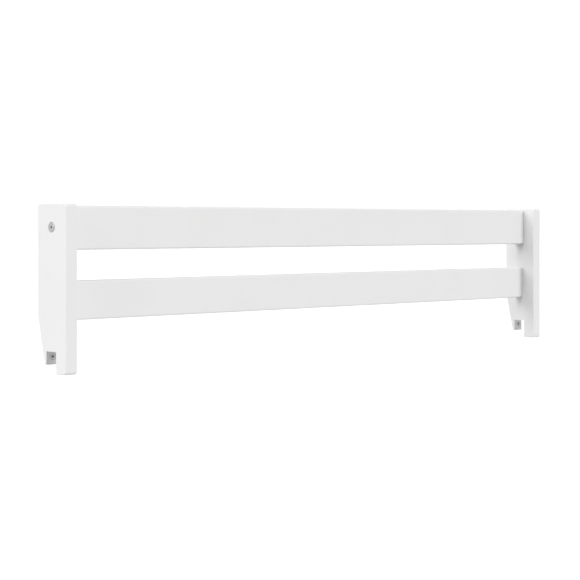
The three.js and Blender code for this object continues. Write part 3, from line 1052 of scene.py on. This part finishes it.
class GUARD_OT_slot_plates(bpy.types.Operator):
    """Cut the steel plates that line the slots' rear walls"""

    bl_idname = "guard.slot_plates"
    bl_label = "Slot Plates"

    def execute(self, context):
        hardware = context.scene.guard_hardware
        material = materials_of(context)["plate_steel"]
        for side in SIDES:
            node = f"{side}_slot_plate"
            low, high, centre = corners_of(node)
            corners = [
                (low.x, low.z, hardware.plate_foot_corner),
                (high.x, low.z, hardware.plate_foot_corner),
                (high.x, high.z, hardware.plate_top_corner),
                (low.x, high.z, hardware.plate_top_corner),
            ]
            blank = rounded_slab(node, corners, high.y - low.y, hardware.plate_edge,
                                 PLATE_SEGMENTS,
                                 lambda x, z, height: (x, centre.y - height, z))
            hole = screw_hole(hardware, centre.x, low.y)
            piece = carved(f"{node}_steel", blank, [hole])
            fit_piece(piece, node, material)
        return {"FINISHED"}


class GUARD_OT_plate_screws(bpy.types.Operator):
    """Turn and thread the countersunk screws that hold the plates"""

    bl_idname = "guard.plate_screws"
    bl_label = "Plate Screws"

    def execute(self, context):
        hardware = context.scene.guard_hardware
        material = materials_of(context)["screw_steel"]
        recipe = screw_recipe()
        for side in SIDES:
            node = f"{side}_plate_screw"
            low, _, centre = corners_of(node)
            tip, shoulder, neck, rim, face = screw_profile(hardware, 0)
            threaded = neck[1] - shoulder[1]
            profile = [tip, shoulder]
            profile += stepped(*shoulder, threaded, hardware.screw_pitch / SCREW_STEPS)
            chamfer = hardware.screw_rim
            profile += [rim, (face[0], -chamfer), (face[0] - chamfer, 0)]
            fit_screw(recipe, "screw", node, profile, material, hardware, {
                "Thread Top": neck[1], "Thread Foot": tip[1], "Face": 0.0,
                "Turn": (math.pi / 2, 0, 0), "Place": (centre.x, low.y, centre.z)})
        return {"FINISHED"}


class GUARD_OT_dowels(bpy.types.Operator):
    """Cut the fluted dowels that join the rails to the end boards"""

    bl_idname = "guard.dowels"
    bl_label = "Dowels"

    def execute(self, context):
        wood = context.scene.guard_wood
        material = materials_of(context)["dowel_beech"]
        recipe = dowel_recipe()
        names = [f"{side}_{rail}_dowel_{number}" for side in SIDES
                 for rail in ("top_rail", "lower_rail") for number in (1, 2)]
        for node in names:
            low, high, centre = corners_of(node)
            piece = recipe.make(f"{node}_wood", {
                "Length": high.x - low.x, "Diameter": high.z - low.z,
                "Flutes": wood.dowel_flutes, "Flute Depth": wood.dowel_flute,
                "Chamfer": wood.dowel_chamfer, "Rings": wood.dowel_rings,
                "Place": centre, "Material": material})
            fit_piece(piece, node, material)
        return {"FINISHED"}


class GUARD_OT_stage(bpy.types.Operator):
    """Lay the floor and set the lights and the camera"""

    bl_idname = "guard.stage"
    bl_label = "Stage"

    def execute(self, context):
        scene, stage = context.scene, context.scene.guard_stage
        scene.view_settings.view_transform = "Standard"
        half = stage.floor_reach / 2
        height = -stage.floor_drop
        corners = [(-half, -half, height), (half, -half, height), (half, half, height),
                   (-half, half, height)]
        floor = new_object("floor", mesh_from("floor", corners, [(0, 1, 2, 3)]))
        floor.visible_diffuse = floor.visible_glossy = floor.visible_shadow = False
        material, sheet = new_material("floor_paint")
        place = sheet.node("ShaderNodeTexCoord", output="Object")
        base = tuple(stage.floor)
        tint = sheet.mix_colours(sheet.noise(place, 6, 3.0, 0.5), base, shaded(base, 0.985))
        paint = sheet.node("ShaderNodeBsdfPrincipled", values={
            "Base Color": tint, "Roughness": 0.9, "Emission Color": (1, 1, 1, 1),
            "Emission Strength": stage.floor_glow})
        clear = sheet.node("ShaderNodeBsdfTransparent")
        from_below = sheet.node("ShaderNodeNewGeometry", output="Backfacing")
        surface = sheet.node("ShaderNodeMixShader", values={0: from_below, 1: paint, 2: clear})
        sheet.node("ShaderNodeOutputMaterial", values={"Surface": surface})
        floor.data.materials.append(material)
        self.light_world(scene, stage)
        for name in ("key", "fill"):
            self.soft_light(scene, stage, name)
        view = bpy.data.cameras.new("camera")
        view.lens = stage.lens
        view.sensor_width = FILM_WIDTH
        view.shift_y = stage.camera_shift
        view.clip_end = FARTHEST
        camera = bpy.data.objects.new("camera", view)
        camera.location = stage.camera_place
        camera.rotation_euler = (math.pi / 2, 0, -stage.camera_turn)
        scene.collection.objects.link(camera)
        scene.camera = camera
        return {"FINISHED"}

    def soft_light(self, scene, stage, name):
        """A wide far light, which leaves soft shadows."""
        power, azimuth, elevation, spread = (
            getattr(stage, f"{name}_{part}")
            for part in ("power", "azimuth", "elevation", "spread"))
        light = bpy.data.lights.new(name, "SUN")
        light.energy = power
        light.angle = spread
        lamp = bpy.data.objects.new(name, light)
        towards = direction(azimuth, elevation)
        lamp.rotation_euler = towards.to_track_quat("Z", "Y").to_euler()
        scene.collection.objects.link(lamp)

    def light_world(self, scene, stage):
        """Soft light from all round, a dark side behind the camera, and a plain white wall."""
        scene.world = bpy.data.worlds.new("studio")
        scene.world.use_nodes = True
        sheet = Sheet(scene.world.node_tree)
        towards = sheet.node("ShaderNodeTexCoord", output="Generated")
        height = sheet.split(towards)[2]
        middle_of_dark = direction(stage.dark_azimuth, stage.dark_elevation)
        facing = sheet.node("ShaderNodeVectorMath", {"operation": "DOT_PRODUCT"},
                            {0: towards, 1: tuple(middle_of_dark)}, output="Value")
        dark = facing.ramp(math.cos(stage.dark_edge), math.cos(stage.dark_core))

        def sky(ground, horizon, top):
            """A brightness that changes with height only."""
            return height.ramp(-0.5, 0.0, ground, horizon) + height.above(0.0) * (top - horizon)

        bright_sky = sky(stage.sky_ground, stage.sky_horizon, stage.sky_top)
        dark_sky = sky(stage.dark_ground, stage.dark_horizon, stage.dark_top)
        light = bright_sky * (1 - dark) + dark_sky * dark
        seen = sheet.node("ShaderNodeLightPath", output="Is Camera Ray")
        background = sheet.node("ShaderNodeBackground", values={
            "Color": (1, 1, 1, 1), "Strength": light * (1 - seen) + seen * stage.backdrop})
        sheet.node("ShaderNodeOutputWorld", values={"Surface": background})


def direction(azimuth, elevation):
    """The unit vector at an azimuth from X and an elevation from the horizon."""
    level_part = math.cos(elevation)
    return Vector((level_part * math.cos(azimuth), level_part * math.sin(azimuth),
                   math.sin(elevation)))


class GUARD_PT_panel(bpy.types.Panel):
    """Lists the guard's pieces and their settings"""

    bl_idname = "GUARD_PT_panel"
    bl_label = "Guard Rail"
    bl_space_type = "VIEW_3D"
    bl_region_type = "UI"
    bl_category = "Guard Rail"

    def draw(self, context):
        column = self.layout.column(align=True)
        for operator in OPERATORS:
            column.operator(operator.bl_idname)
        for name in SETTINGS:
            box = self.layout.box()
            group = getattr(context.scene, name)
            for key in group.bl_rna.properties.keys():
                if key not in ("rna_type", "name"):
                    box.prop(group, key)


OPERATORS = (GUARD_OT_rails, GUARD_OT_end_boards, GUARD_OT_connector_bolts,
             GUARD_OT_barrel_nuts, GUARD_OT_slot_plates, GUARD_OT_plate_screws,
             GUARD_OT_dowels, GUARD_OT_stage)
SETTINGS = {"guard_wood": WoodSettings, "guard_hardware": HardwareSettings,
            "guard_stage": StageSettings}
CLASSES = (*SETTINGS.values(), *OPERATORS, GUARD_PT_panel)


def register():
    for made in CLASSES:
        bpy.utils.register_class(made)
    for name, group in SETTINGS.items():
        setattr(bpy.types.Scene, name, bpy.props.PointerProperty(type=group))


def unregister():
    for name in SETTINGS:
        delattr(bpy.types.Scene, name)
    for made in reversed(CLASSES):
        bpy.utils.unregister_class(made)


def main():
    register()
    for operator in OPERATORS:
        name = operator.bl_idname.split(".")[1]
        getattr(bpy.ops.guard, name)()


if __name__ == "__main__":
    main()
